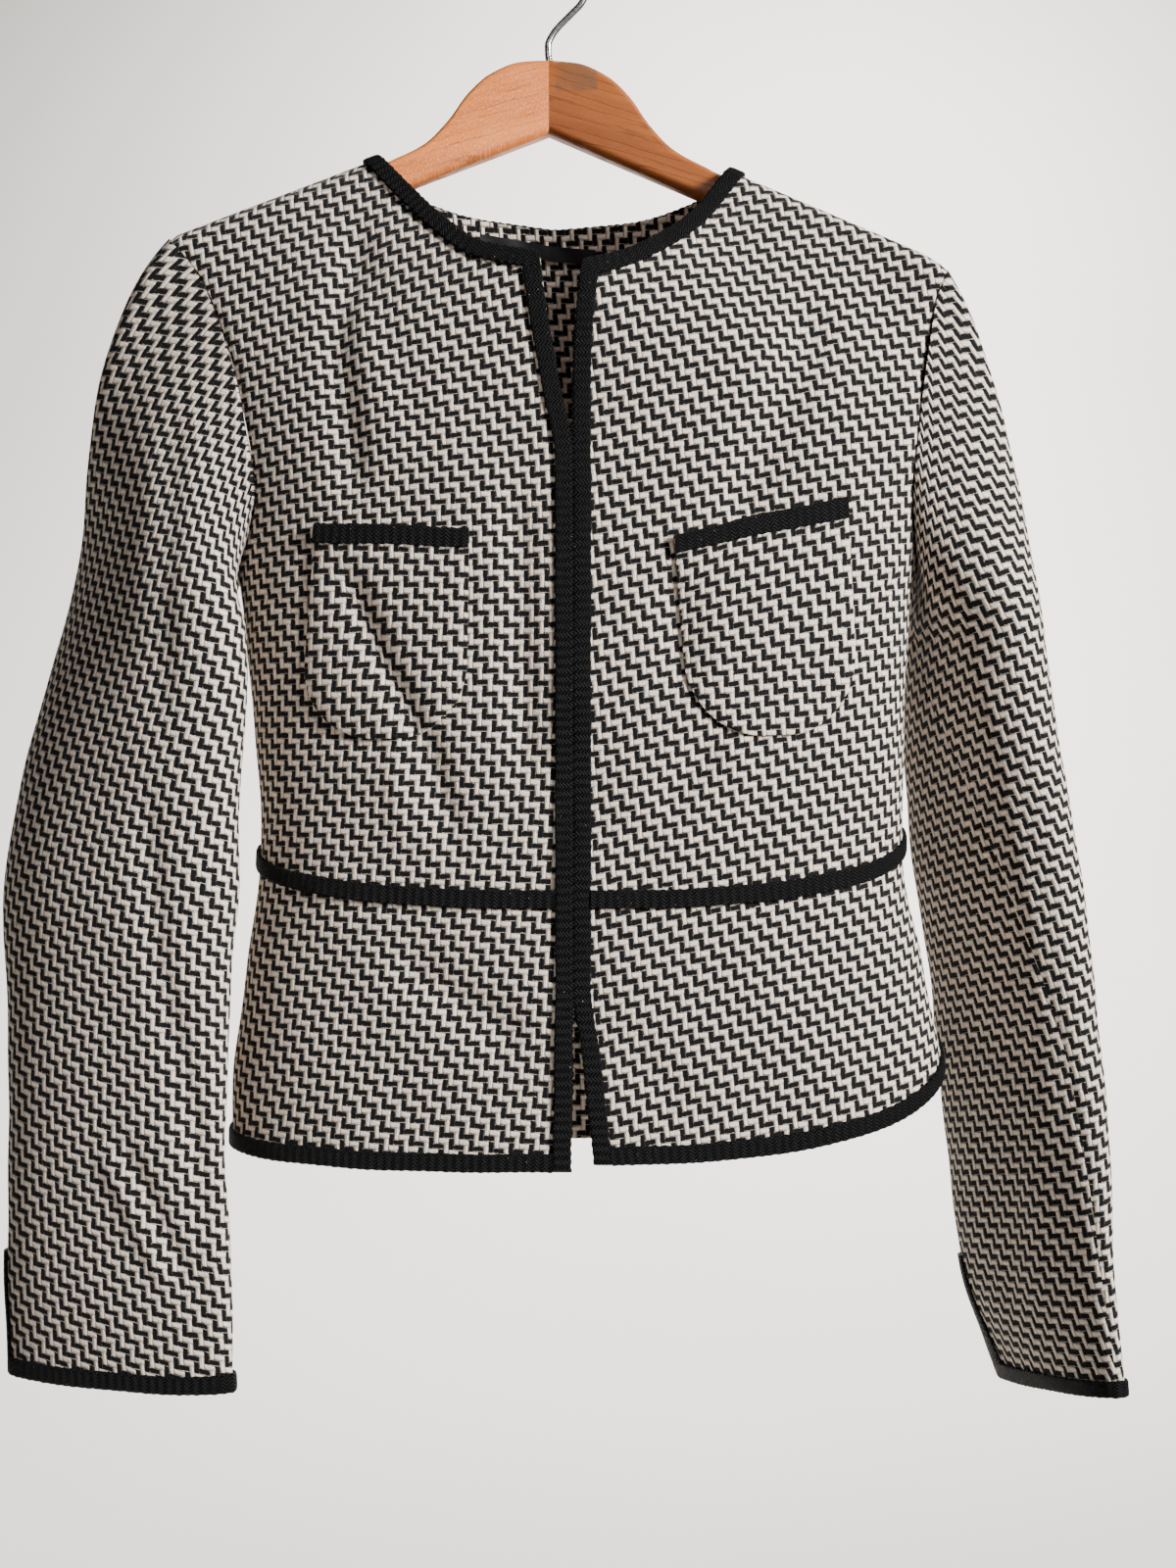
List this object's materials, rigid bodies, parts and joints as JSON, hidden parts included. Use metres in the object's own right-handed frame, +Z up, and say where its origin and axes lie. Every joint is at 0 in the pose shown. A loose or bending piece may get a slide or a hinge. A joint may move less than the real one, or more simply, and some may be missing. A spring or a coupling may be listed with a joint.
{
  "type": "cropped tweed jacket on a wooden hanger",
  "caption": "Collarless cropped tweed jacket with patch pockets, a short peplum and black braid edges, hanging open-cuffed on a wooden hanger with a wire hook.",
  "frame": {"origin": "top inside the hook, where the hanger hangs on a rail or nail", "axes": "+X towards the wearer's left, +Y back towards the wall, +Z up"},
  "size_m": [0.6012, 0.1567, 0.8047],
  "materials": {
    "tweed": "black and cream wool twill, plump and matt",
    "braid": "black plaited braid, matt with small glints",
    "satin": "plain black satin, soft sheen",
    "wood": "varnished warm brown hardwood",
    "steel": "polished wire, slightly pitted"
  },
  "bodies": {
    "root": {"bodice_back": "tweed", "bodice_front_left": "tweed", "bodice_front_right": "tweed", "peplum_back": "tweed", "peplum_front_left": "tweed", "peplum_front_right": "tweed", "upper_sleeve_left": "tweed", "upper_sleeve_right": "tweed", "under_sleeve_left": "tweed", "under_sleeve_right": "tweed", "pocket_left": "tweed", "pocket_right": "tweed", "edge_braid_left": "braid", "edge_braid_right": "braid", "neck_braid_back": "braid", "neck_braid_left": "braid", "neck_braid_right": "braid", "waist_braid_back": "braid", "waist_braid_left": "braid", "waist_braid_right": "braid", "hem_braid_back": "braid", "hem_braid_left": "braid", "hem_braid_right": "braid", "cuff_braid_left": "braid", "cuff_braid_right": "braid", "vent_braid_left": "braid", "vent_braid_right": "braid", "pocket_braid_left": "braid", "pocket_braid_right": "braid", "label": "satin", "hanger_arm_left": "wood", "hanger_arm_right": "wood", "hook": "steel"}
  },
  "joints": []
}
